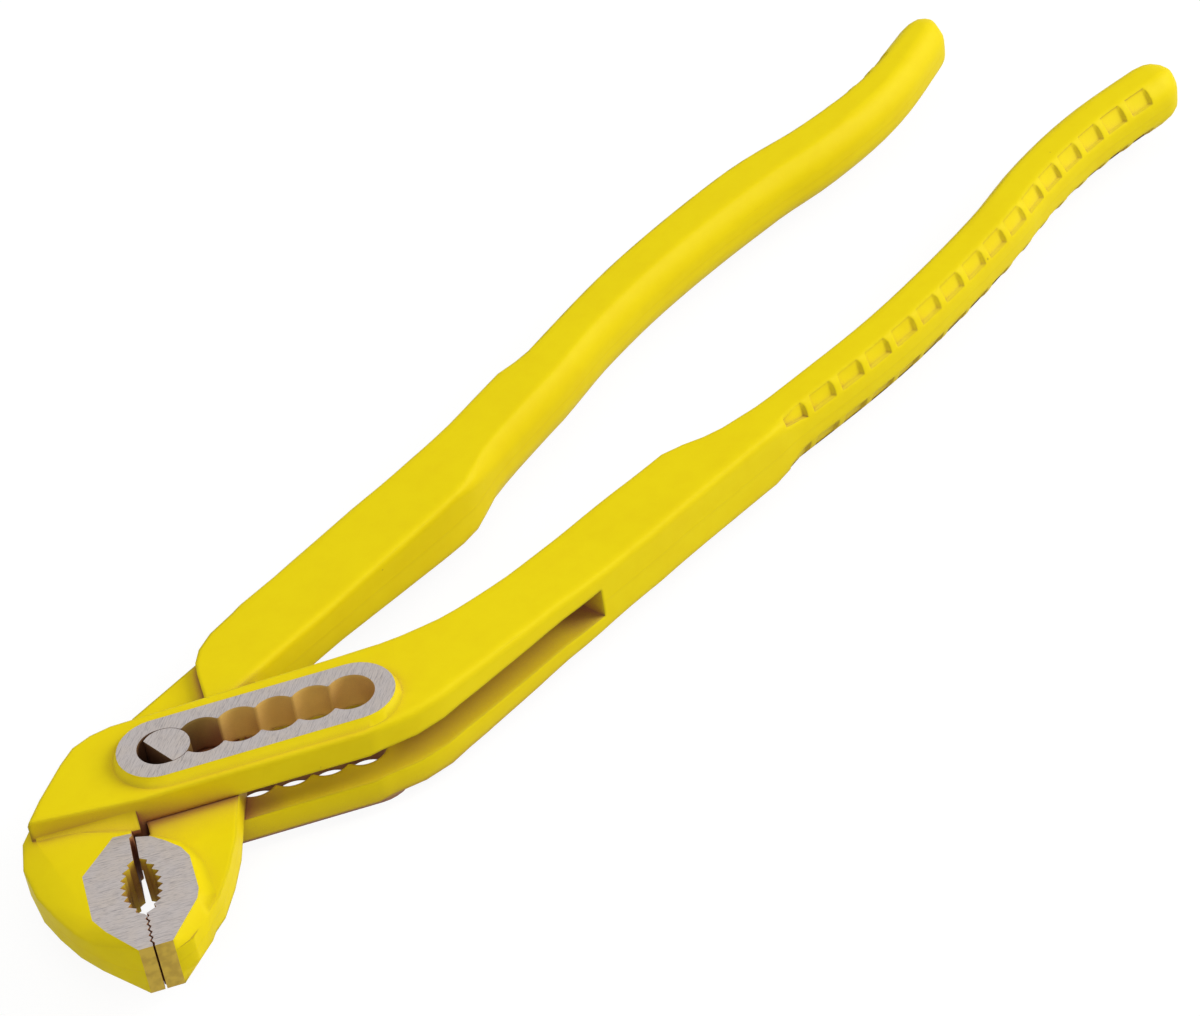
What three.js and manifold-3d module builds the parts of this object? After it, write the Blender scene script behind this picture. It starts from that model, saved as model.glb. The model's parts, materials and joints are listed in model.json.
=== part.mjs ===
// Slip-joint water-pump pliers with a through joint, closed on the first of six seats.
// Three pieces: the slotted half (two cheeks, left jaw, lower handle), the inner half (a tongue that
// passes between the cheeks, right jaw, upper handle) and the pivot pin, which is keyed into the tongue.
//
// Working frame: millimetres. The pin's axis is the origin, x runs along the slot towards the handles,
// y runs across it towards the inner half's handle, and z = 0 is the forgings' parting plane.
// At the end the tool is turned so that its length lies along x, and set down on z = 0.

import * as THREE from "three";
import { ConvexGeometry } from "three/addons/geometries/ConvexGeometry.js";
import { mergeVertices } from "three/addons/utils/BufferGeometryUtils.js";
import Module from "manifold-3d";

const wasm = await Module();
wasm.setup();

// Pivot pin and its slot
const PIN_DIAMETER = 7.3;
const PIN_ACROSS = 5.1; // from the flat to the round side
const PIN_KEY_GAP = 0.05; // pin to its keyed hole in the tongue
const SEAT_CLEARANCE = 0.08; // pin to seat, radial
const NECK_CLEARANCE = 0.07; // flat and round side to the slot's necks
const SEAT_COUNT = 6;
const SEAT_PITCH = 5.6;
const SLOT_LEAD = 0.6; // slot run-out before the first seat
const RELEASE_ANGLE = 60; // opening, in degrees, that lines the flat up with the slot

// Through joint
const TONGUE_THICKNESS = 4.6;
const TONGUE_CLEARANCE = 0.3; // tongue to each cheek
const CHEEK_THICKNESS = 4.6;
const CHEEK_BEVEL = 0.8;
const CHEEK_JAW_MARGIN = 1; // cheek beyond the boss, on the jaws' side
const CHEEK_HANDLE_MARGIN = 2.65; // the same on the inner handle's side
const BOSS_RIM = 2.45; // ground face round the slot
const BOSS_HEIGHT = 1.5;
const BOSS_DRAFT = 0.8;
const HEAD_REACH = 22.2; // pin axis to the back of the head
const WINDOW_LENGTH = 43; // open gap between the cheeks beyond the last seat
const SHOULDER_GAP = 1.3; // cheek to the inner half's shoulder
const SHOULDER_OFFSET = 7.6; // pin axis to the shoulder's end, along the slot

// Jaws
const JAW_THICKNESS = 8.8;
const JAW_LENGTH = 26.9;
const LEFT_JAW_WIDTH = 16;
const RIGHT_JAW_WIDTH = 16;
const JAW_EDGE = 5; // thickness at the jaws' outer edge
const PARTING_OFFSET = 8; // pin axis to the parting line, where the jaws begin
const PARTING_LEAN = 0.053;
const STEP_FILLET = 1.8; // foot of the head's front wall
const JAW_GAP = 0.3;
const PAD_GAP = 0.9; // between the smooth pads above the pipe grip
const THROAT_OFFSET = 5.75; // pin axis to the end of the opening under the cheeks
const THROAT_DEPTH = 2.5;
const PAD_START = 4.3;
const GRIP_START = 9;
const GRIP_LENGTH = 11.2;
const GRIP_DEPTH = 3.1;
const GRIP_TEETH = 8;
const GRIP_TOOTH = 0.8;
const FINE_TEETH = 6;
const FINE_TOOTH = 0.4;

// Handles
const HANDLE_LENGTH = 165.8; // slotted half: boss to handle end, along the slot
const INNER_HANDLE_LENGTH = 159.7; // inner half: shoulder to handle end, along the slot
const NECK_WIDTH = 11.6;
const NECK_BEVEL = 0.6;
const NECK_ROUND = 0.8; // length taken off each side of a corner
const SHANK_WIDTH = 12.9;
const SHANK_THICKNESS = 8;
const GRIP_THICKNESS = 10.8;
const GRIP_OUTER_HALF = 2.6; // path to the edge of the flat
const GRIP_INNER_HALF = 2.8;
const INNER_GRIP_HALF = 3.4;
const GRIP_INNER_BEVEL = 1.5; // plan width of the grip's sloping faces
const GRIP_OUTER_BEVEL = 1.1;
const GRIP_SIDE = 4.6; // height of the grip's upright side
const GRIP_ROUND = 1.2;
const END_THICKNESS = 10.4;
const END_HALF = 2.9;
const END_BEVEL = 2.5;
const END_ROUND = 5;
const POCKET_COUNT = 16;
const POCKET_PITCH = 6.7;
const POCKET_LENGTH = 5.3;
const POCKET_DEPTH = 0.7; // at the parting plane's side, and next to the flat
const POCKET_SHALLOW = 0.4;
const POCKET_BORDER = 0.2; // sloping face left above and below a pocket
const POCKET_DRAFT = 0.45;
const TOOL_ANGLE = 38; // slot to the tool's length, in degrees

// Levels and edges that follow from the sizes above
const PIN_RADIUS = PIN_DIAMETER / 2;
const SEAT_RADIUS = PIN_RADIUS + SEAT_CLEARANCE;
const NECK_HALF = PIN_ACROSS / 2 + NECK_CLEARANCE;
const SLOT_END = SEAT_PITCH * (SEAT_COUNT - 1);
const TONGUE_TOP = TONGUE_THICKNESS / 2;
const CHEEK_UNDER = TONGUE_TOP + TONGUE_CLEARANCE;
const CHEEK_TOP = CHEEK_UNDER + CHEEK_THICKNESS;
const BOSS_TOP = CHEEK_TOP + BOSS_HEIGHT;
const BOSS_RADIUS = SEAT_RADIUS + BOSS_RIM;
const CHEEK_NEAR = -(BOSS_RADIUS + BOSS_DRAFT + CHEEK_JAW_MARGIN);
const CHEEK_FAR = BOSS_RADIUS + BOSS_DRAFT + CHEEK_HANDLE_MARGIN;
const JAW_TOP = JAW_THICKNESS / 2;
const NECK_X = SLOT_END + BOSS_RADIUS;
const BEYOND = 60; // cutters reach this far past the metal

// Solids
function solidOf(geometry) {
  const bare = geometry.index ? geometry.toNonIndexed() : geometry.clone();
  bare.deleteAttribute("normal");
  bare.deleteAttribute("uv");
  const merged = mergeVertices(bare, 1e-4);
  return new wasm.Manifold(
    new wasm.Mesh({
      numProp: 3,
      vertProperties: merged.attributes.position.array,
      triVerts: new Uint32Array(merged.index.array),
    }),
  );
}

function geometryOf(solid) {
  const mesh = solid.getMesh();
  const geometry = new THREE.BufferGeometry();
  geometry.setAttribute("position", new THREE.BufferAttribute(mesh.vertProperties, 3));
  geometry.setIndex(new THREE.BufferAttribute(mesh.triVerts, 1));
  const flat = geometry.toNonIndexed();
  flat.computeVertexNormals();
  return flat;
}

const polygon = (points) => new THREE.Shape(points.map(([x, y]) => new THREE.Vector2(x, y)));

// A flat plate of the given outline, lying evenly about the parting plane.
function plate(shape, half, bevel = 0) {
  const geometry = new THREE.ExtrudeGeometry(shape, {
    depth: 2 * (half - bevel),
    bevelEnabled: bevel > 0,
    bevelThickness: bevel,
    bevelSize: bevel,
    bevelOffset: -bevel,
    bevelSegments: 2,
    curveSegments: 10,
  });
  return solidOf(geometry.translate(0, 0, bevel - half));
}

const hull = (points) => solidOf(new ConvexGeometry(points.map((p) => new THREE.Vector3(...p))));
const mirrored = (points, z) => points.flatMap(([x, y]) => [[x, y, z], [x, y, -z]]);

// A value that runs straight between [distance, value] pairs.
function ramp(pairs, s) {
  const next = pairs.findIndex(([at]) => at >= s);
  if (next === 0) return pairs[0][1];
  if (next < 0) return pairs[pairs.length - 1][1];
  const [a, va] = pairs[next - 1];
  const [b, vb] = pairs[next];
  return va + ((vb - va) * (s - a)) / (b - a);
}

// Two points and a middle one in place of each corner of a closed outline.
function roundedCorners(corners, cut) {
  const towards = (from, to) => {
    const [dx, dy] = [to[0] - from[0], to[1] - from[1]];
    const length = Math.hypot(dx, dy);
    const step = Math.min(cut, 0.42 * length) / length;
    return [from[0] + dx * step, from[1] + dy * step];
  };
  return corners.flatMap((corner, i) => {
    const before = towards(corner, corners.at(i - 1));
    const after = towards(corner, corners[(i + 1) % corners.length]);
    const middle = corner.map((c, k) => c / 2 + (before[k] + after[k]) / 4);
    return [before, middle, after];
  });
}

// A forged bar along a plan path. Its section has a flat top and bottom, upright sides, and sloping faces
// between them, with rounded corners. form gives it at a share of the bar's length: half is half the
// thickness, and each side has its half width, and the bevel and the upright height of its edge.
// outward is +1 where the outer face lies to the right of the path, and -1 where it lies to the left.
class Bar {
  constructor(points, outward, form) {
    this.path = new THREE.CatmullRomCurve3(points.map(([x, y]) => new THREE.Vector3(x, y, 0)));
    this.path.arcLengthDivisions = 800;
    this.length = this.path.getLength();
    this.outward = outward;
    this.form = (s) => form(s / this.length);
  }

  // Place at distance s along the path and n outwards from it.
  at(s, n, z) {
    const u = THREE.MathUtils.clamp(s / this.length, 0, 1);
    const point = this.path.getPointAt(u);
    const tangent = this.path.getTangentAt(u);
    const x = point.x + n * this.outward * tangent.y;
    const y = point.y - n * this.outward * tangent.x;
    return new THREE.Vector3(x, y, z);
  }

  section(s) {
    const { half, round, inner, outer } = this.form(s);
    const left = this.length - s;
    const full = left < END_ROUND ? Math.sqrt(1 - (1 - left / END_ROUND) ** 2) : 1;
    const wide = 0.2 + 0.8 * full;
    const tall = 0.6 + 0.4 * full;
    const corners = [
      [-inner.half, half],
      [-inner.half - inner.bevel, inner.side / 2],
      [-inner.half - inner.bevel, -inner.side / 2],
      [-inner.half, -half],
      [outer.half, -half],
      [outer.half + outer.bevel, -outer.side / 2],
      [outer.half + outer.bevel, outer.side / 2],
      [outer.half, half],
    ];
    return roundedCorners(corners, round).map(([n, z]) => this.at(s, n * wide, z * tall));
  }

  solid(stations) {
    const rings = stations.map((s) => this.section(s));
    const size = rings[0].length;
    const triangles = [];
    for (let i = 1; i < rings.length; i++) {
      for (let j = 0; j < size; j++) {
        const k = (j + 1) % size;
        triangles.push(rings[i - 1][j], rings[i][j], rings[i][k]);
        triangles.push(rings[i - 1][j], rings[i][k], rings[i - 1][k]);
      }
    }
    const last = rings[rings.length - 1];
    for (let j = 1; j < size - 1; j++) {
      triangles.push(rings[0][0], rings[0][j], rings[0][j + 1]);
      triangles.push(last[0], last[j + 1], last[j]);
    }
    if (this.outward < 0) triangles.reverse();
    return solidOf(new THREE.BufferGeometry().setFromPoints(triangles));
  }

  // One recess in the outer sloping face, above (up = 1) or below (up = -1) the parting plane.
  pocket(start, up) {
    const corners = [];
    for (const [inset, sink] of [[0, -1], [0, 0], [POCKET_DRAFT, 1]]) {
      for (const s of [start + inset, start + POCKET_LENGTH - inset]) {
        const { half, outer } = this.form(s);
        const slope = new THREE.Vector2(outer.bevel, outer.side / 2 - half);
        const face = slope.length();
        const out = new THREE.Vector2(-slope.y, slope.x).divideScalar(face);
        const rows = [[POCKET_BORDER, POCKET_SHALLOW], [face - POCKET_BORDER - inset, POCKET_DEPTH]];
        for (const [along, depth] of rows) {
          const n = outer.half + (slope.x * along) / face - out.x * sink * depth;
          const z = half + (slope.y * along) / face - out.y * sink * depth;
          corners.push(this.at(s, n, z * up).toArray());
        }
      }
    }
    return hull(corners);
  }

  pockets(share) {
    const first = share * this.length;
    const cutters = [];
    for (let i = 0; i < POCKET_COUNT; i++) {
      const start = first + i * POCKET_PITCH;
      cutters.push(this.pocket(start, 1), this.pocket(start, -1));
    }
    return cutters;
  }
}

// Distances of a bar's sections: even steps, and closer ones round its end.
function stations(length, step) {
  const straight = length - END_ROUND;
  const count = Math.round(straight / step);
  const list = Array.from({ length: count + 1 }, (_, i) => (straight * i) / count);
  for (const turn of [20, 40, 60, 80]) {
    list.push(straight + END_ROUND * Math.sin(THREE.MathUtils.degToRad(turn)));
  }
  return list;
}

// Slot, boss and pin outlines
function slotShape() {
  const shape = new THREE.Shape();
  const neck = Math.asin(NECK_HALF / SEAT_RADIUS);
  shape.moveTo(-SLOT_LEAD, -SEAT_RADIUS);
  shape.absarc(-SLOT_LEAD, 0, SEAT_RADIUS, -Math.PI / 2, Math.PI / 2, true);
  for (let i = 0; i < SEAT_COUNT; i++) {
    const from = i === 0 ? Math.PI / 2 : Math.PI - neck;
    const to = i === SEAT_COUNT - 1 ? -Math.PI / 2 : neck;
    shape.absarc(i * SEAT_PITCH, 0, SEAT_RADIUS, from, to, true);
  }
  for (let i = SEAT_COUNT - 1; i >= 0; i--) {
    const from = i === SEAT_COUNT - 1 ? -Math.PI / 2 : -neck;
    const to = i === 0 ? -Math.PI / 2 : neck - Math.PI;
    shape.absarc(i * SEAT_PITCH, 0, SEAT_RADIUS, from, to, true);
  }
  return shape;
}

function stadium(radius, z) {
  const points = [];
  for (let i = 0; i <= 16; i++) {
    const turn = Math.PI / 2 + (Math.PI * i) / 16;
    points.push([radius * Math.cos(turn) - 2 * SLOT_LEAD, radius * Math.sin(turn), z]);
    points.push([SLOT_END + SLOT_LEAD - radius * Math.cos(turn), radius * Math.sin(turn), z]);
  }
  return points;
}

// A round with one flat, turned so that opening by the release angle brings the flat level with the slot.
function keyedRound(grow) {
  const radius = PIN_RADIUS + grow;
  const corner = Math.acos((PIN_ACROSS - PIN_RADIUS + grow) / radius);
  const turn = -Math.PI / 2 - THREE.MathUtils.degToRad(RELEASE_ANGLE);
  const shape = new THREE.Shape();
  shape.absarc(0, 0, radius, turn + corner, turn + 2 * Math.PI - corner, false);
  return shape;
}

// Jaws: places are given by the share of the jaw's width, out from the parting line, and of its length,
// forward from the cheeks.
const partingAt = (d) => -PARTING_OFFSET - PARTING_LEAN * d;
const leftJaw = ([w, l]) => [partingAt(l * JAW_LENGTH) - w * LEFT_JAW_WIDTH, CHEEK_NEAR - l * JAW_LENGTH];
const rightJaw = ([w, l]) => [partingAt(l * JAW_LENGTH) + w * RIGHT_JAW_WIDTH, CHEEK_NEAR - l * JAW_LENGTH];
const LEFT_FACE = [
  [0, 0.13], [0.17, 0.12], [0.33, 0.23], [0.5, 0.35],
  [0.48, 0.69], [0.38, 0.8], [0.12, 0.98],
];
const LEFT_EDGE = [
  [0, 0.01], [0.93, -0.16], [0.99, -0.1], [1.02, 0.1],
  [0.94, 0.33], [0.82, 0.5], [0.67, 0.67],
];
const LEFT_NOSE = [[0.5, 0.81], [0.31, 0.93], [0.13, 1], [0, 1]];
const RIGHT_FACE = [
  [0, 0.16], [0.16, 0.19], [0.29, 0.26], [0.41, 0.34],
  [0.47, 0.42], [0.49, 0.68], [0.46, 0.75],
];
const RIGHT_NOSE = [[0.34, 0.84], [0.18, 0.93], [0.18, 1], [0, 1]];
const RIGHT_SLOPE = [
  [0, 0.11], [0.22, 0.12], [0.42, 0.21], [0.51, 0.31],
  [0.59, 0.43], [0.63, 0.67], [0.5, 0.84],
];
const RIGHT_EDGE = [
  [1, 0.02], [0.96, 0.14], [0.9, 0.31], [0.79, 0.51],
  [0.65, 0.7], [0.53, 0.79], [0.35, 0.95],
];

// Tooth line of one jaw, from the opening under the cheeks to the tip. side is -1 left and +1 right.
function toothLine(side) {
  const line = [];
  const put = (d, offset) => line.push([partingAt(d) + offset, CHEEK_NEAR - d]);
  line.push([-THROAT_OFFSET + (side * JAW_GAP) / 2, CHEEK_NEAR - THROAT_DEPTH]);
  put(PAD_START, (side * PAD_GAP) / 2);
  put(GRIP_START, (side * PAD_GAP) / 2);
  for (let i = 1; i < 2 * GRIP_TEETH; i++) {
    const share = i / GRIP_TEETH - 1;
    const depth = GRIP_DEPTH * Math.sqrt(1 - share * share) - (i % 2 ? 0 : GRIP_TOOTH);
    put(GRIP_START + (GRIP_LENGTH * i) / (2 * GRIP_TEETH), side * depth);
  }
  const start = GRIP_START + GRIP_LENGTH;
  const step = (JAW_LENGTH - start) / (2 * FINE_TEETH);
  for (let i = 0; i < 2 * FINE_TEETH; i++) {
    put(start + i * step, (side * JAW_GAP) / 2 + (i % 2 ? FINE_TOOTH / 2 : -FINE_TOOTH / 2));
  }
  put(JAW_LENGTH + 1, (side * JAW_GAP) / 2);
  return line;
}

// The neck's bevelled edge grows into the grip's sloping one between two shares of the bar's length.
function edge(t, half, thickness, from, to, bevel) {
  return {
    half,
    bevel: ramp([[from, NECK_BEVEL], [to, bevel], [1, END_BEVEL]], t),
    side: ramp([[from, 2 * (thickness - NECK_BEVEL)], [to, GRIP_SIDE]], t),
  };
}

// Slotted half. Path points are shares of the handle's length, from the end of the boss.
const SLOTTED_PATH = [
  [-0.043, 0.0085],
  [0.004, 0.0145],
  [0.041, 0.028],
  [0.084, 0.047],
  [0.147, 0.082],
  [0.274, 0.16],
  [0.3685, 0.2105],
  [0.4536, 0.2557],
  [0.589, 0.336],
  [0.7316, 0.444],
  [0.8058, 0.5115],
  [0.884, 0.5675],
  [1, 0.627],
];
const slottedBar = new Bar(
  SLOTTED_PATH.map(([x, y]) => [NECK_X + x * HANDLE_LENGTH, y * HANDLE_LENGTH]),
  1,
  (t) => {
    const head = (CHEEK_FAR - CHEEK_NEAR) / 2 - 0.2;
    const neck = NECK_WIDTH / 2 - NECK_BEVEL;
    const start = [[0, head], [0.04, head - 0.5], [0.07, head - 1.7], [0.11, neck + 0.6], [0.17, neck]];
    const inner = ramp([
      ...start,
      [0.325, neck + 0.3],
      [0.345, neck + 0.8],
      [0.362, neck + 0.4],
      [0.38, neck - 1],
      [0.4, GRIP_INNER_HALF + 0.5],
      [0.44, GRIP_INNER_HALF - 0.1],
      [0.5, GRIP_INNER_HALF + 0.1],
      [1, END_HALF],
    ], t);
    const outer = ramp([
      ...start,
      [0.2, neck + 0.3],
      [0.28, neck + 0.4],
      [0.32, neck - 0.1],
      [0.38, neck - 0.9],
      [0.43, neck - 1.5],
      [0.445, GRIP_OUTER_HALF],
      [0.6, GRIP_OUTER_HALF],
      [1, GRIP_OUTER_HALF - 0.5],
    ], t);
    const full = ramp([[0, CHEEK_TOP], [0.05, CHEEK_TOP], [0.236, GRIP_THICKNESS / 2]], t);
    return {
      half: ramp([[0, full], [0.455, full], [1, END_THICKNESS / 2]], t),
      round: ramp([[0.32, NECK_ROUND], [0.46, GRIP_ROUND]], t),
      inner: edge(t, inner, full, 0.345, 0.4, GRIP_INNER_BEVEL),
      outer: edge(t, outer, full, 0.43, 0.445, GRIP_OUTER_BEVEL),
    };
  },
);

// The sloping foot of the head's front wall, where it meets the left jaw.
function stepFillet(up) {
  const ends = [
    { x: -THROAT_OFFSET - 1, y: CHEEK_NEAR + 0.2, z: JAW_TOP - 0.9 },
    { x: -HEAD_REACH + 0.6, y: CHEEK_NEAR + 2, z: JAW_EDGE / 2 - 0.1 },
  ];
  return hull(ends.flatMap(({ x, y, z }) => [
    [x, y, up * (z - 1)],
    [x, y, up * (z + STEP_FILLET)],
    [x, y - 0.4 - STEP_FILLET * 0.4, up * (z + STEP_FILLET * 0.4)],
    [x, y - 0.4 - STEP_FILLET, up * (z - 0.2)],
    [x, y - 0.4 - STEP_FILLET, up * (z - 1)],
  ]));
}

function slottedHalf() {
  const head = polygon([
    [NECK_X + 1, CHEEK_NEAR + 2.1],
    [NECK_X - 6, CHEEK_NEAR],
    [-THROAT_OFFSET, CHEEK_NEAR],
    [-HEAD_REACH, CHEEK_NEAR + 1.8],
    [-HEAD_REACH + 2.3, CHEEK_NEAR + 6],
    [-HEAD_REACH + 6.6, CHEEK_FAR - 5.2],
    [-HEAD_REACH + 8.9, CHEEK_FAR - 2.4],
    [-HEAD_REACH + 11.9, CHEEK_FAR - 0.8],
    [-HEAD_REACH + 15.2, CHEEK_FAR],
    [NECK_X - 4, CHEEK_FAR + 0.9],
    [NECK_X + 3, CHEEK_FAR],
  ]);
  let body = plate(head, CHEEK_TOP, CHEEK_BEVEL);
  body = body.add(slottedBar.solid(stations(slottedBar.length, 3.5)));
  body = body.add(hull([
    ...stadium(BOSS_RADIUS, BOSS_TOP),
    ...stadium(BOSS_RADIUS + BOSS_DRAFT, CHEEK_TOP),
    ...stadium(BOSS_RADIUS + BOSS_DRAFT, -CHEEK_TOP),
    ...stadium(BOSS_RADIUS, -BOSS_TOP),
  ]));
  body = body.add(hull([
    ...mirrored(LEFT_FACE.map(leftJaw), JAW_TOP),
    ...mirrored([[0.13, 1], [0, 1]].map(leftJaw), JAW_TOP),
    ...mirrored([leftJaw([0.91, -0.15])], JAW_TOP - 1),
    ...mirrored([...LEFT_EDGE, ...LEFT_NOSE].map(leftJaw), JAW_EDGE / 2),
  ]));
  for (const up of [1, -1]) body = body.add(stepFillet(up));

  // The gap between the cheeks lets the tongue through and gives it room to turn.
  const sweep = -PARTING_OFFSET * 2;
  const gap = polygon([
    [-THROAT_OFFSET, CHEEK_NEAR - 1],
    [-THROAT_OFFSET, CHEEK_NEAR],
    [-PARTING_OFFSET + 0.4, CHEEK_NEAR + 1.6],
    [-PARTING_OFFSET - 2.5, CHEEK_NEAR + 3.4],
    [sweep, 1],
    [sweep - BEYOND, 1 + BEYOND / 3],
    [SLOT_END + WINDOW_LENGTH - 6 - BEYOND * 0.53, CHEEK_FAR + 11 + BEYOND * 0.85],
    [SLOT_END + WINDOW_LENGTH - 6, CHEEK_FAR + 11],
    [SLOT_END + WINDOW_LENGTH, CHEEK_FAR + 1.6],
    [SLOT_END + WINDOW_LENGTH + 12, CHEEK_NEAR],
  ]);
  body = body.subtract(plate(gap, CHEEK_UNDER));
  body = body.subtract(plate(slotShape(), BOSS_TOP + 1));
  const line = toothLine(-1);
  const clear = polygon([
    [-THROAT_OFFSET, CHEEK_NEAR - 0.05],
    ...line,
    [BEYOND, line[line.length - 1][1]],
    [BEYOND, CHEEK_NEAR - 0.05],
  ]);
  body = body.subtract(plate(clear, JAW_TOP + 1).intersect(plate(polygon([
    [-BEYOND, CHEEK_NEAR - 0.05],
    [-BEYOND, -BEYOND],
    [SHOULDER_OFFSET, -BEYOND],
    [SHOULDER_OFFSET, CHEEK_NEAR - 0.05],
  ]), JAW_TOP + 1)));
  for (const cutter of slottedBar.pockets(0.436)) body = body.subtract(cutter);
  return body;
}

// Inner half. Path points are shares of its handle's length, from the shoulder's corner.
const SHOULDER_Y = CHEEK_FAR + SHOULDER_GAP;
const INNER_PATH = [
  [-0.041, 0.013],
  [0.04, 0.072],
  [0.1265, 0.131],
  [0.267, 0.2275],
  [0.408, 0.351],
  [0.558, 0.48],
  [0.723, 0.5885],
  [0.81, 0.631],
  [0.903, 0.692],
  [1.004, 0.795],
];
const innerBar = new Bar(
  INNER_PATH.map(([x, y]) => [
    SHOULDER_OFFSET + x * INNER_HANDLE_LENGTH,
    SHOULDER_Y + y * INNER_HANDLE_LENGTH,
  ]),
  -1,
  (t) => {
    const shank = SHANK_WIDTH / 2 - NECK_BEVEL;
    const inner = ramp([
      [0, shank + 0.2],
      [0.24, shank + 0.2],
      [0.285, shank + 0.5],
      [0.305, shank + 0.4],
      [0.335, INNER_GRIP_HALF + 1.2],
      [0.36, INNER_GRIP_HALF + 0.8],
      [0.44, INNER_GRIP_HALF + 0.8],
      [0.5, INNER_GRIP_HALF + 0.1],
      [0.72, INNER_GRIP_HALF + 0.4],
      [1, END_HALF - 0.9],
    ], t);
    const outer = ramp([
      [0, shank + 0.2],
      [0.24, shank],
      [0.35, INNER_GRIP_HALF + 0.8],
      [0.43, INNER_GRIP_HALF + 0.6],
      [0.445, INNER_GRIP_HALF - 0.2],
      [0.72, INNER_GRIP_HALF + 0.1],
      [1, GRIP_OUTER_HALF - 1],
    ], t);
    const full = ramp([[0.15, SHANK_THICKNESS / 2], [0.3, GRIP_THICKNESS / 2]], t);
    return {
      half: ramp([[0, full], [0.45, full], [1, END_THICKNESS / 2]], t),
      round: ramp([[0.28, NECK_ROUND], [0.42, GRIP_ROUND]], t),
      inner: edge(t, inner, full, 0.29, 0.34, GRIP_INNER_BEVEL),
      outer: edge(t, outer, full, 0.43, 0.445, GRIP_OUTER_BEVEL),
    };
  },
);

function innerHalf() {
  const shank = plate(polygon([
    [SHOULDER_OFFSET, SHOULDER_Y],
    [BEYOND * 4, SHOULDER_Y],
    [BEYOND * 4, BEYOND * 3],
    [SHOULDER_OFFSET + 14, BEYOND * 3],
    [SHOULDER_OFFSET + 14, SHOULDER_Y + 26],
    [SHOULDER_OFFSET + 8, SHOULDER_Y + 19.6],
    [SHOULDER_OFFSET + 3.7, SHOULDER_Y + 16.2],
    [SHOULDER_OFFSET + 1.3, SHOULDER_Y + 13.2],
    [SHOULDER_OFFSET + 0.2, SHOULDER_Y + 10.4],
    [SHOULDER_OFFSET, SHOULDER_Y + 7.8],
  ]), CHEEK_TOP);
  let body = innerBar.solid(stations(innerBar.length, 3.5)).intersect(shank);
  body = body.add(plate(polygon([
    [SHOULDER_OFFSET + 6, SHOULDER_Y + 16],
    [-3.5, SHOULDER_Y + 4.1],
    [-4.6, SHOULDER_Y + 2.6],
    [-6.6, SHOULDER_Y - 3],
    [-7, 0],
    [-6.9, CHEEK_NEAR + 3],
    [-THROAT_OFFSET + JAW_GAP / 2, CHEEK_NEAR - 0.2],
    [-THROAT_OFFSET + JAW_GAP / 2, CHEEK_NEAR - THROAT_DEPTH],
    rightJaw([-0.3, 0.3]),
    rightJaw([-0.3, 1]),
    ...RIGHT_NOSE.slice(2, 3).map(rightJaw),
    ...RIGHT_EDGE.map(rightJaw).reverse(),
    [9.6, CHEEK_NEAR + 5],
    [10.6, 3],
    [SHOULDER_OFFSET + 4.5, SHOULDER_Y],
    [SHOULDER_OFFSET + 12, SHOULDER_Y + 9.5],
  ]), TONGUE_TOP));
  body = body.add(hull([
    ...mirrored([...RIGHT_FACE, ...RIGHT_NOSE].map(rightJaw), JAW_TOP),
    ...mirrored([...RIGHT_SLOPE, [0.33, 0.95]].map(rightJaw), TONGUE_TOP - 0.1),
  ]));
  const line = toothLine(1);
  body = body.subtract(plate(polygon([
    [-BEYOND, line[0][1]],
    [-BEYOND, line[line.length - 1][1]],
    ...line.slice().reverse(),
  ]), JAW_TOP + 1));
  body = body.subtract(plate(keyedRound(PIN_KEY_GAP), TONGUE_TOP + 1));
  for (const cutter of innerBar.pockets(0.432)) body = body.subtract(cutter);
  return body;
}

// Assembly
const PAINT = 0xe6d21c;
const STEEL = 0xb9b2b4;

function piece(name, solid, color, metalness, roughness) {
  const material = new THREE.MeshStandardMaterial({ color, metalness, roughness });
  const mesh = new THREE.Mesh(geometryOf(solid), material);
  mesh.name = name;
  return mesh;
}

const tool = new THREE.Group();
tool.add(
  piece("slotted_half", slottedHalf(), PAINT, 0, 0.38),
  piece("inner_half", innerHalf(), PAINT, 0, 0.38),
  piece("pivot_pin", plate(keyedRound(0), BOSS_TOP), STEEL, 1, 0.42),
);
tool.rotation.z = THREE.MathUtils.degToRad(-TOOL_ANGLE);

// Set down: the middle of the tool's footprint is the origin, and its lower face is on z = 0.
const pliers = new THREE.Group();
pliers.add(tool);
const extent = new THREE.Box3().setFromObject(pliers, true);
const centre = extent.getCenter(new THREE.Vector3());
tool.position.set(-centre.x, -centre.y, -extent.min.z);

export default pliers;
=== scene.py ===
# %% [markdown]
# # Painted slip-joint pliers
# The tool is two drop forgings and a pin. Both forgings were painted yellow all over, and then the
# bosses round the slot and the flat sides of the jaws were ground bare, which is why bright steel
# meets paint along crisp edges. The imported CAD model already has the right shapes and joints, so
# this lesson dresses it: it copies each solid, rounds it in shading, decides face by face what is
# paint and what is ground steel, and lights it.

# %% Load the frame
import json
import math

import bmesh
import bpy
from mathutils import Matrix, Vector


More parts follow.
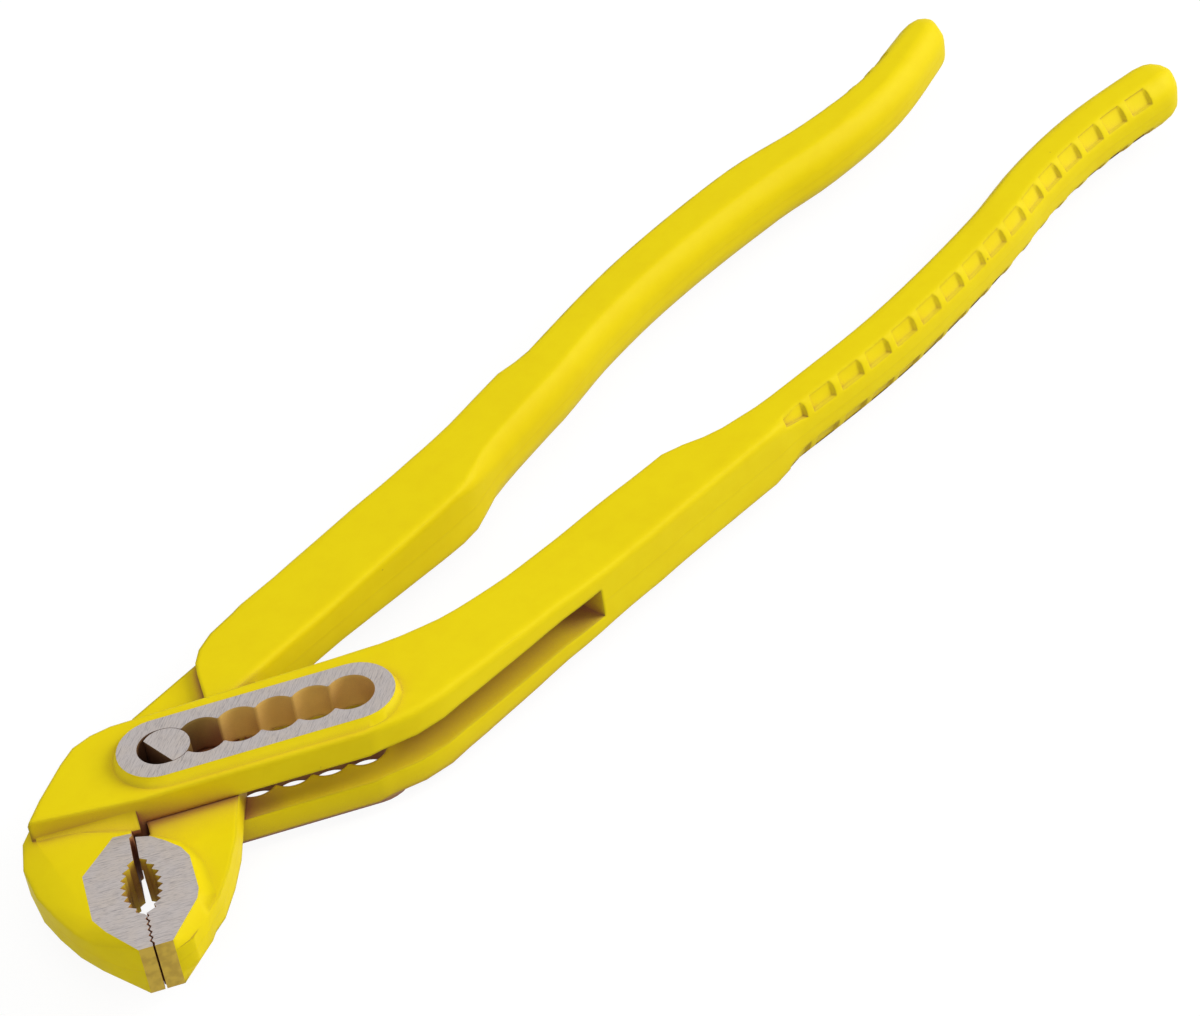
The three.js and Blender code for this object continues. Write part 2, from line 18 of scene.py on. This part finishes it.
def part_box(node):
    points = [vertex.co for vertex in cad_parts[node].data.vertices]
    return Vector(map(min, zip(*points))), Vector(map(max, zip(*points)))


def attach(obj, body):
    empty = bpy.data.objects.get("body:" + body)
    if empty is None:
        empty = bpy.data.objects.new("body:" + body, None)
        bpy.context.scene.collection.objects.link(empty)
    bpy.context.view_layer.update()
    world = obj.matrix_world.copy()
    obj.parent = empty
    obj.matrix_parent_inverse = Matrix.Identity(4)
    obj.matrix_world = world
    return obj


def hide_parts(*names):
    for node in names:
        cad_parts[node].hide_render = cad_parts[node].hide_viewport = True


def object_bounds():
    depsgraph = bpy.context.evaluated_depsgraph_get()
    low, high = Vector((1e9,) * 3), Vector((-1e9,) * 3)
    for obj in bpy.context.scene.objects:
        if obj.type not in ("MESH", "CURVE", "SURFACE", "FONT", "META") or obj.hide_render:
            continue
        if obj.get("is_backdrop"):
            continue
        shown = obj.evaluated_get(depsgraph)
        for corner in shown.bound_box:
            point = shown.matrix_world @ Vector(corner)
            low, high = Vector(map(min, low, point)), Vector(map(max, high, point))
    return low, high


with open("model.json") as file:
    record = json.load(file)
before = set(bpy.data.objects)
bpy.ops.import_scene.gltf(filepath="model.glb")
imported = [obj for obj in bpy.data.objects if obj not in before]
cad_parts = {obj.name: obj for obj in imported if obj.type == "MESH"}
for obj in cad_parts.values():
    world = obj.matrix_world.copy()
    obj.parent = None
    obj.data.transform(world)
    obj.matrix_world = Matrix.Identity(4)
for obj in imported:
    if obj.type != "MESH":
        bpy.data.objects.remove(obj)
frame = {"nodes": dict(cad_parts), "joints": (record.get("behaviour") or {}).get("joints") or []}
cad_low, cad_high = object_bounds()


def tell_box(name, low, high):
    print(name, "box from", [round(v, 4) for v in low], "to", [round(v, 4) for v in high])


tell_box("CAD", cad_low, cad_high)

# %% [markdown]
# ## Where things are
# The pin's axis is the hinge of the one joint, and the forgings are alike above and below the
# parting plane, half way up the pin. Both are taken from the frame, so that nothing here has to be
# measured twice.

# %% The pin's axis and the parting plane
MM = 0.001

hinge = frame["joints"][0]
pin_axis = Vector(hinge["pos_m"])
pin_low, pin_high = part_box("pivot_pin")
middle = (pin_low.z + pin_high.z) / 2
boss_level = pin_high.z - middle
print("hinge", hinge["name"], "at", [round(v / MM, 2) for v in pin_axis], "mm")
print("boss faces", round(boss_level / MM, 2), "mm from the parting plane")

# %% [markdown]
# ## Writing shaders as sums
# A material is a graph of nodes, and long ones are hard to read as links. This small class holds
# one output socket. Python's operators on it add Math nodes, and `add` makes any other node: its
# type, its settings, its sockets.

# %% The class that wraps a socket
class Wire:
    """One output socket. Operators on it add Math nodes to its material."""

    def __init__(self, tree, socket=None):
        self.tree = tree
        self.socket = socket

    def add(self, kind, settings=None, sockets=None, out=0):
        node = self.tree.nodes.new("ShaderNode" + kind)
        for name, value in (settings or {}).items():
            setattr(node, name, value)
        for name, value in (sockets or {}).items():
            target = self._input(node, name)
            if isinstance(value, Wire):
                self.tree.links.new(value.socket, target)
            else:
                target.default_value = value
        return Wire(self.tree, node.outputs[out])

    @staticmethod
    def _input(node, name):
        if isinstance(name, int):
            return node.inputs[name]
        return next(s for s in node.inputs if s.enabled and name in (s.name, s.identifier))

    def _math(self, operation, a, b):
        return self.add("Math", {"operation": operation}, {0: a, 1: b})

    def __add__(self, other):
        return self._math("ADD", self, other)

    def __radd__(self, other):
        return self._math("ADD", other, self)

    def __sub__(self, other):
        return self._math("SUBTRACT", self, other)

    def __rsub__(self, other):
        return self._math("SUBTRACT", other, self)

    def __mul__(self, other):
        return self._math("MULTIPLY", self, other)

    def __rmul__(self, other):
        return self._math("MULTIPLY", other, self)

    def __abs__(self):
        return self.add("Math", {"operation": "ABSOLUTE"}, {0: self})

    def vector(self, operation, other, out="Vector"):
        """This and another vector through a Vector Math node, whose Value output is a number."""
        return self.add("VectorMath", {"operation": operation}, {0: self, 1: other}, out)

    def part(self, axis):
        """One coordinate of this vector, by its letter."""
        return self.add("SeparateXYZ", None, {0: self}, axis)

    def noise(self, scale, detail, roughness=0.5):
        """Noise over this place, with about scale features to each of its units."""
        sockets = {"Vector": self, "Scale": scale, "Detail": detail, "Roughness": roughness}
        return self.add("TexNoise", None, sockets)

    def ramp(self, low, high, start=0.0, end=1.0):
        """start at low and below, end at high and above, and smooth between them."""
        settings = {"interpolation_type": "SMOOTHSTEP"}
        return self.add("MapRange", settings, {0: self, 1: low, 2: high, 3: start, 4: end})

    def tint(self, colour, other):
        """colour where this is 0 and other where it is 1, from the Mix node's colour output."""
        sockets = {"Factor_Float": self, "A_Color": colour, "B_Color": other}
        return self.add("Mix", {"data_type": "RGBA"}, sockets, out=2)


print("sockets are wrapped by", Wire.__name__)


# %% Helpers that start a material, feed its shader and give colours
def begin(name):
    """A new material, its Principled shader, and a Wire with the place in millimetres."""
    material = bpy.data.materials.new(name)
    material.use_nodes = True
    tree = material.node_tree
    place = Wire(tree).add("TexCoord", out="Object")
    scaled = place.add("VectorMath", {"operation": "SCALE"}, {0: place, "Scale": 1 / MM})
    return material, tree.nodes["Principled BSDF"], scaled


def feed(shader, **sockets):
    """Sets or links the Principled shader's sockets, named with underscores for spaces."""
    tree = shader.id_data
    for name, value in sockets.items():
        target = shader.inputs[name.replace("_", " ")]
        if isinstance(value, Wire):
            tree.links.new(value.socket, target)
        else:
            target.default_value = value


def linear(hex_colour):
    """The scene-linear colour of a screen colour such as "e6d21c"."""
    channels = [int(hex_colour[i:i + 2], 16) / 255 for i in (0, 2, 4)]
    return [c / 12.92 if c <= 0.04045 else ((c + 0.055) / 1.055) ** 2.4 for c in channels] + [1]


print("material helpers ready:", begin.__name__, feed.__name__, linear.__name__)

# %% [markdown]
# ## The yellow paint
# Paint on a forging is a thick, slightly uneven skin. It rounds every corner, it shows the
# forging's low waves and its own orange peel, it is a shade deeper where it pooled, and it carries
# a faint line where the two dies met. A Bevel node rounds the corners in shading. Bevelling the
# mesh instead would fight the thin triangles that the cuts leave, and it would blunt the teeth.
#
# In the slot, between the cheeks and under the head, a browner painted shade is mixed into the
# colour, and tight corners such as the ends of the handles' pockets get a darker painted shade. Two
# Ambient Occlusion nodes tell how closed in a place is, one with a long reach and one with a short
# reach. The walls of the slot have a browner coat of their own, partly thinner paint and partly
# painted shade, with a dark painted shade on it round the pin.

# %% The paint's colours
PAINT = linear("f0d906")
PAINT_DEEP = linear("e8cb05")
# A painted highlight for rounded edges.
PAINT_EDGE_HIGHLIGHT = linear("f0dd30")
PAINT_PIT = linear("8a6a1c")
# A brown painted shade for recesses.
PAINT_RECESS_SHADE = linear("96584c")
# A darker painted shade for tight corners, such as the pockets' ends.
PAINT_NOOK_SHADE = linear("b87f1e")
# The slot walls' coat: partly thinner paint, partly painted shade.
SLOT_COAT_AND_SHADE = linear("ecc468")
SLOT_COAT_AND_SHADE_DEEP = linear("d0a052")
# A dark painted shade for the slot near the pin.
PIN_SHADE = linear("33270f")
print("paint in scene-linear colour:", [round(channel, 3) for channel in PAINT])

# %% Tell closed-in places and shade the paint near the pin
SHADE_SAMPLES = 6
PIN_SHADE_NEAR_MM = 4.5
PIN_SHADE_FAR_MM = 10.5
PIN_SHADE_STRENGTH = 0.75


def closed_in(place, reach, low, high):
    """0 where a share high or more of the sky within reach is open, and 1 where low or less is."""
    settings = {"samples": SHADE_SAMPLES}
    open_sky = place.add("AmbientOcclusion", settings, {"Distance": reach}, out="AO")
    return open_sky.ramp(low, high, 1, 0)


def shaded_near_pin(place, colour):
    """colour, darkened near the pin by painted shade."""
    pin_place = (pin_axis.x / MM, pin_axis.y / MM, 0)
    from_pin = place.vector("MULTIPLY", (1, 1, 0)).vector("DISTANCE", pin_place, out="Value")
    return from_pin.ramp(PIN_SHADE_NEAR_MM, PIN_SHADE_FAR_MM, PIN_SHADE_STRENGTH, 0).tint(colour, PIN_SHADE)


# The painted shade near the pin fades out between these distances.
print("grease fades from", PIN_SHADE_NEAR_MM, "to", PIN_SHADE_FAR_MM, "mm from the pin's axis")

# %% The sizes and strengths of the paint's marks
CORNER_RADIUS = 0.9 * MM
RECESS_REACH = 7 * MM
NOOK_REACH = 2 * MM

WAVES_PER_MM = 0.09
BLOTCHES_PER_MM = 0.35
PEEL_PER_MM = 1.1
GRAINS_PER_MM = 6
PITS_PER_MM = 0.22

WAVE_HEIGHT_MM = 0.1
PEEL_HEIGHT_MM = 0.01
GRAIN_HEIGHT_MM = 0.002
SEAM_HEIGHT_MM = 0.03
PIT_DEPTH_MM = 0.04

POOL_TINT = 0.2
EDGE_HIGHLIGHT_TINT = 0.3
SEAM_TINT = 0.2
PIT_TINT = 0.5
NOOK_SHADE_TINT = 0.6

PAINT_ROUGHNESS = 0.5
PAINT_GLOSS = 0.12
print("corners look rounded to", round(CORNER_RADIUS / MM, 2), "mm")


# %% Make the paint
def paint_material(name, skin, skin_deep, skin_edge_highlight, pin_shaded=False):
    material, shader, place = begin(name)
    waves = place.noise(WAVES_PER_MM, detail=2)
    blotch = place.noise(BLOTCHES_PER_MM, detail=3, roughness=0.6)
    peel = place.noise(PEEL_PER_MM, detail=1.5)
    grain = place.noise(GRAINS_PER_MM, detail=1)

    rounded = place.add("Bevel", {"samples": SHADE_SAMPLES}, {"Radius": CORNER_RADIUS})
    normal = place.add("NewGeometry", out="Normal")
    corner = (1 - rounded.vector("DOT_PRODUCT", normal, out="Value")).ramp(0.02, 0.28)

    pits = place.add("TexVoronoi", {"feature": "F1"}, {"Vector": place, "Scale": PITS_PER_MM})
    pit = pits.ramp(0.03, 0.06, 1, 0) * blotch.ramp(0.56, 0.62)

    upright = abs(normal.part("Z")).ramp(0.2, 0.5, 1, 0)
    seam = abs(place.part("Z") - middle / MM).ramp(0.05, 0.3, 1, 0) * upright

    pooled = blotch.ramp(0.35, 0.75) * POOL_TINT + waves.ramp(0.4, 0.7) * POOL_TINT
    colour = pooled.tint(skin, skin_deep)
    # Rounded edges get a painted highlight, broken up by grain.
    colour = (corner * grain.ramp(0.3, 0.7) * EDGE_HIGHLIGHT_TINT).tint(colour, skin_edge_highlight)
    colour = (seam * SEAM_TINT).tint(colour, skin_deep)
    colour = (pit * PIT_TINT).tint(colour, PAINT_PIT)
    # Tight corners get a darker painted shade.
    painted_nook_shade = closed_in(place, NOOK_REACH, 0.5, 0.92)
    colour = (painted_nook_shade * NOOK_SHADE_TINT).tint(colour, PAINT_NOOK_SHADE)
    # Recesses get a brown painted shade.
    painted_recess_shade = closed_in(place, RECESS_REACH, 0.28, 0.93)
    colour = (painted_recess_shade * (0.8 + grain * 0.2)).tint(colour, PAINT_RECESS_SHADE)
    # The slot's coat gets a dark painted shade near the pin.
    if pin_shaded:
        colour = shaded_near_pin(place, colour)

    relief = waves * WAVE_HEIGHT_MM + peel * PEEL_HEIGHT_MM + grain * GRAIN_HEIGHT_MM
    relief = relief + seam * SEAM_HEIGHT_MM - pit * PIT_DEPTH_MM
    sockets = {"Height": relief, "Strength": 0.8, "Distance": MM, "Normal": rounded}
    bump = place.add("Bump", None, sockets)
    roughness = PAINT_ROUGHNESS + blotch * 0.1 + corner * 0.05
    feed(shader, Base_Color=colour, Roughness=roughness, Normal=bump)
    feed(shader, Specular_IOR_Level=PAINT_GLOSS)
    return material


paint = paint_material("yellow_paint", PAINT, PAINT_DEEP, PAINT_EDGE_HIGHLIGHT)
slot_coat_and_shade = paint_material("slot_coat_with_painted_shade", SLOT_COAT_AND_SHADE, SLOT_COAT_AND_SHADE_DEEP, SLOT_COAT_AND_SHADE, pin_shaded=True)
for coat in (paint, slot_coat_and_shade):
    print(coat.name, "nodes:", len(coat.node_tree.nodes))

# %% [markdown]
# ## The ground steel
# A belt or wheel leaves fine parallel scratches. On the bosses they run slantwise across the slot,
# and on the jaws nearly straight across. Stretched noise gives such lines: the place is turned to
# the grinding direction and scaled hard across it. The same noise moves colour, roughness and a
# very small bump, so that the lines catch the light.

# %% Make the steel for the bosses, the jaws and the pin
STEEL = linear("c6bebb")
STEEL_DARK = linear("857f81")
STEEL_WARM = linear("c9bdb2")
STEEL_ROUGHNESS = 0.36
CLOUDS_PER_MM = 0.3
# Features to the millimetre, along the grinding and across it.
SCRATCHES_ALONG, SCRATCHES_ACROSS = 0.3, 5.5
HAIRS_ALONG, HAIRS_ACROSS = 0.9, 13
SCRATCH_DEPTH_MM = 0.012
HAIR_DEPTH_MM = 0.005


def steel_material(name, angle, fineness):
    """Steel with its scratches turned by an angle, and fineness times as many as on the bosses."""
    material, shader, place = begin(name)
    turned = place.add("Mapping", None, {"Vector": place, "Rotation": (0, 0, angle)})
    lines = (SCRATCHES_ALONG, SCRATCHES_ACROSS * fineness, SCRATCHES_ALONG)
    hairs = (HAIRS_ALONG, HAIRS_ACROSS * fineness, HAIRS_ALONG)
    scratch = turned.vector("MULTIPLY", lines).noise(1, detail=3, roughness=0.65)
    hair = turned.vector("MULTIPLY", hairs).noise(1, detail=2)
    cloud = place.noise(CLOUDS_PER_MM, detail=2)

    dark = scratch.ramp(0.48, 0.72) * 0.5 + hair.ramp(0.5, 0.7) * 0.5
    colour = (cloud.ramp(0.35, 0.7) * 0.5).tint(STEEL, STEEL_WARM)
    colour = dark.tint(colour, STEEL_DARK)
    relief = scratch * SCRATCH_DEPTH_MM + hair * HAIR_DEPTH_MM
    bump = place.add("Bump", None, {"Height": relief, "Strength": 0.7, "Distance": MM})
    roughness = STEEL_ROUGHNESS + dark * 0.16 + cloud * 0.06
    feed(shader, Base_Color=colour, Metallic=1.0, Roughness=roughness, Normal=bump)
    return material


boss_steel = steel_material("boss_ground_steel", math.radians(-22), 1.0)
jaw_steel = steel_material("jaw_ground_steel", math.radians(40), 0.8)
pin_steel = steel_material("pin_ground_steel", math.radians(-20), 0.9)
print("steels:", boss_steel.name, jaw_steel.name, pin_steel.name)

# %% [markdown]
# The ends of the two jaws are faced off too. Their dull olive is painted shade with a painted
# reflection of the yellow paint around them.

# %% Make the jaws' end faces
# The end faces' olive is painted shade and a painted yellow reflection, varied at random in
# patches.
TIP_OLIVE_SHADE = linear("cfae36")
TIP_OLIVE_SHADE_DARK = linear("b9982e")
OLIVE_PATCHES_PER_MM = 0.7


def tip_material():
    material, shader, place = begin("jaw_tip_face")
    olive_patches = place.noise(OLIVE_PATCHES_PER_MM, detail=2)
    colour = olive_patches.ramp(0.35, 0.7).tint(TIP_OLIVE_SHADE, TIP_OLIVE_SHADE_DARK)
    feed(shader, Base_Color=colour, Metallic=0.2, Roughness=0.42 + olive_patches * 0.2)
    return material


tip_steel = tip_material()
print("tip nodes:", len(tip_steel.node_tree.nodes))

# %% [markdown]
# ## Which face is what
# The grinding and the coats follow the forging's faces, so a face's direction and place tell its
# finish, and nothing has to be painted by hand. Faces that lie flat at the bosses' level or at the
# jaws' level are ground steel. Upright faces inside the slot's outline have the slot's coat, which
# is partly thinner paint and partly painted shade. The slot runs at an angle to the tool's length,
# and the faces furthest out across it are the jaws' ends.

# %% Choose the material of a face
SLOT_TURN = Matrix.Rotation(math.radians(-38), 3, "Z")
SLOT_LENGTH = 28 * MM
SLOT_SLACK = 0.3 * MM
SLOT_RUN_OUT = 0.9 * MM
JAW_LEVEL = 4.4 * MM
LEVEL_SLACK = 0.06 * MM
FLATNESS = 0.999
UPRIGHT = 0.3
NOSE = SLOT_TURN @ Vector((0, -1, 0))

pin_corners = frame["nodes"]["pivot_pin"].data.vertices
pin_radius = max((corner.co - pin_axis).xy.length for corner in pin_corners)


def in_slot(place):
    """Whether a point lies inside the slot's outline, seen along the pin."""
    flat = SLOT_TURN.transposed() @ (place - pin_axis)
    reach = pin_radius + SLOT_SLACK
    return -reach - SLOT_RUN_OUT < flat.x < SLOT_LENGTH + reach and abs(flat.y) < reach


def face_skin(face, nose_reach, steel_levels):
    """The material of one face. nose_reach is how far its piece reaches along the nose."""
    place = face.calc_center_median()
    for level, steel in steel_levels:
        off_level = abs(abs(place.z - middle) - level)
        if abs(face.normal.z) > FLATNESS and off_level < LEVEL_SLACK:
            return steel
    if abs(face.normal.z) < UPRIGHT and in_slot(place):
        return slot_coat_and_shade
    if NOSE.dot(face.normal) > FLATNESS and nose_reach - NOSE.dot(place) < LEVEL_SLACK:
        return tip_steel
    return paint


print("pin radius", round(pin_radius / MM, 2), "mm, nose along", [round(v, 3) for v in NOSE])

# %% [markdown]
# ## The forgings and the pin
# Each solid is copied into a piece of its own, because a CAD mesh is never changed. The copy's
# doubled corners are welded, and flat areas are dissolved to single faces.
#
# A forging has no sharp inside corners, and its lofted handles are smooth. So blunt outer edges,
# and all inside corners that aren't nearly square, are shaded as one surface. A Weighted Normal
# modifier lets the larger face set the direction at such an edge, so flat areas stay flat and the
# narrow faces between them look like rounded fillets.

# %% Copy a solid into a dressed piece
SHARP_ANGLE = math.radians(28)
FILLET_ANGLE = math.radians(75)
FLAT_ANGLE = math.radians(0.4)
WELD = 0.002 * MM


def shades_smooth(edge):
    limit = SHARP_ANGLE if edge.is_convex else FILLET_ANGLE
    return len(edge.link_faces) == 2 and edge.calc_face_angle(0) < limit


def dressed(node, body, name, steel_levels):
    """A painted copy of a CAD node, with the faces at each level in that level's steel."""
    skins = [paint] + [steel for _, steel in steel_levels] + [tip_steel, slot_coat_and_shade]
    mesh = frame["nodes"][node].data.copy()
    mesh.materials.clear()
    for skin in skins:
        mesh.materials.append(skin)

    form = bmesh.new()
    form.from_mesh(mesh)
    bmesh.ops.remove_doubles(form, verts=form.verts, dist=WELD)
    bmesh.ops.dissolve_limit(form, angle_limit=FLAT_ANGLE, verts=form.verts, edges=form.edges)
    nose_reach = max(NOSE.dot(corner.co) for corner in form.verts)
    for face in form.faces:
        face.smooth = True
        face.material_index = skins.index(face_skin(face, nose_reach, steel_levels))
    for edge in form.edges:
        edge.smooth = shades_smooth(edge)
    form.to_mesh(mesh)
    form.free()

    piece = bpy.data.objects.new(name, mesh)
    bpy.context.scene.collection.objects.link(piece)
    piece.modifiers.new("flats_stay_flat", "WEIGHTED_NORMAL").keep_sharp = True
    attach(piece, body)
    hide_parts(node)
    painted = sum(polygon.material_index == 0 for polygon in mesh.polygons)
    print(name, "faces", len(mesh.polygons), "in yellow paint", painted)
    return piece


print("outer edges stay sharp from", round(math.degrees(SHARP_ANGLE)), "degrees")

# %% Dress the three pieces
slotted_levels = [(boss_level, boss_steel), (JAW_LEVEL, jaw_steel)]
slotted = dressed("slotted_half", "slotted_body", "slotted_forging", slotted_levels)
inner = dressed("inner_half", "inner_body", "inner_forging", [(JAW_LEVEL, jaw_steel)])
pin = dressed("pivot_pin", "inner_body", "keyed_pin", [(boss_level, pin_steel)])

# %% [markdown]
# ## Floor and light
# The tool lies on white, so the floor is white and is lit from itself for the camera and for
# mirroring metal, with a soft shadow left in it. The key lamp stands to the right of the picture,
# so the handles' outer sides are as bright as their tops, while the slot's far wall and the tip
# faces, which look towards the camera, are in shade. A broad lamp hangs above, and weak ones fill
# from the front and from behind.

# %% Lay the floor
FLOOR_SIZE = 6.0
FLOOR_DROP = 0.5 * MM
FLOOR_SHADES = linear("cac9c7"), linear("cecdcb")
FLOOR_PATCHES_PER_MM = 0.02
FLOOR_GLOW = 0.78
FLOOR_WHITE = 1.16


def shown(wire):
    """1 for what the camera sees, straight or in a glossy surface, and 0 for what only lights."""
    seen = wire.add("LightPath", out="Is Camera Ray")
    mirrored = wire.add("LightPath", out="Is Glossy Ray")
    return wire.add("Math", {"operation": "MAXIMUM"}, {0: seen, 1: mirrored})


def floor_material():
    material, shader, place = begin("white_floor")
    tree = material.node_tree
    patches = place.noise(FLOOR_PATCHES_PER_MM, detail=2)
    feed(shader, Base_Color=patches.tint(*FLOOR_SHADES), Roughness=0.9)
    white = place.add("Emission", None, {"Color": (1, 1, 1, 1), "Strength": FLOOR_WHITE})
    lit = Wire(tree, shader.outputs[0])
    mixed = place.add("MixShader", None, {0: shown(place) * FLOOR_GLOW, 1: lit, 2: white})
    tree.links.new(mixed.socket, tree.nodes["Material Output"].inputs[0])
    return material


half = FLOOR_SIZE / 2
corners = [(-half, -half, 0), (half, -half, 0), (half, half, 0), (-half, half, 0)]
floor_mesh = bpy.data.meshes.new("floor")
floor_mesh.from_pydata(corners, [], [(0, 1, 2, 3)])
floor_mesh.materials.append(floor_material())
floor = bpy.data.objects.new("floor", floor_mesh)
bpy.context.scene.collection.objects.link(floor)
floor.location.z = cad_low.z - FLOOR_DROP
floor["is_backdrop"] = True
print("floor", FLOOR_SIZE, "m")

# %% Hang the lamps
# Each lamp has its place from the tool's centre and its size in metres, and its power in watts.
LAMPS = {
    "key": ((1.4, -1.25, 1.1), 1.2, 34),
    "overhead": ((-0.1, -0.05, 1.3), 1.3, 5),
    "front_fill": ((-0.8, -0.9, 0.9), 0.9, 4),
    "back_fill": ((-0.9, 1.1, 0.7), 0.9, 3),
}

centre = (cad_low + cad_high) / 2
for name, (offset, size, power) in LAMPS.items():
    light = bpy.data.lights.new(name, "AREA")
    light.size = size
    light.energy = power
    holder = bpy.data.objects.new(name, light)
    holder.location = centre + Vector(offset)
    holder.rotation_euler = (centre - holder.location).to_track_quat("-Z", "Y").to_euler()
    bpy.context.scene.collection.objects.link(holder)
print("lamps:", list(LAMPS))

# %% Set the world
SKY_LIGHT = 0.22
SKY_SHOWN = 0.56

world = bpy.data.worlds.new("studio")
world.use_nodes = True
bpy.context.scene.world = world
sky = world.node_tree.nodes["Background"]
strength = SKY_LIGHT + shown(Wire(world.node_tree)) * SKY_SHOWN
world.node_tree.links.new(strength.socket, sky.inputs["Strength"])
sky.inputs["Color"].default_value = (1, 1, 1, 1)
bpy.context.scene.view_settings.view_transform = "Standard"
print("world", world.name, "lights with", SKY_LIGHT, "and shows", round(SKY_LIGHT + SKY_SHOWN, 2))

# %% [markdown]
# ## The camera
# The photo looks down on the tool at about forty degrees from the jaws' end, with a long lens, and
# the camera was held slightly turned, so the slot rises to the right. The three directions of that
# view are worked out from an azimuth, an elevation and a roll, and the lens from how large the tool
# stands in the picture. The point that it aims at is told along the slot, across it, and up from
# the parting plane.

# %% Place the camera
AIM = Vector((73.7, 24.8, 8.7)) * MM
DISTANCE = 577.8 * MM
AZIMUTH = math.radians(-138.05)
ELEVATION = math.radians(39.45)
ROLL = math.radians(-9.49)
LENS = 112.9
SENSOR = 36

aim = Vector((pin_axis.x, pin_axis.y, middle)) + SLOT_TURN @ AIM
outward = Vector((math.cos(AZIMUTH), math.sin(AZIMUTH), 0))
level = Vector((-math.sin(AZIMUTH), math.cos(AZIMUTH), 0))
back = outward * math.cos(ELEVATION) + Vector((0, 0, math.sin(ELEVATION)))
up = back.cross(level)
right = math.cos(ROLL) * level + math.sin(ROLL) * up
above = back.cross(right)
facing = Matrix((right, above, back)).transposed().to_4x4()

view = bpy.data.cameras.new("photo_view")
view.lens = LENS
view.sensor_width = SENSOR
view.sensor_fit = "HORIZONTAL"
camera = bpy.data.objects.new("photo_view", view)
camera.matrix_world = Matrix.Translation(aim + back * DISTANCE) @ facing
bpy.context.scene.collection.objects.link(camera)
bpy.context.scene.camera = camera
print("camera at", [round(v, 3) for v in camera.matrix_world.translation])

# %% Tell the visual's size and finish
visual_low, visual_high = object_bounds()
tell_box("visual", visual_low, visual_high)
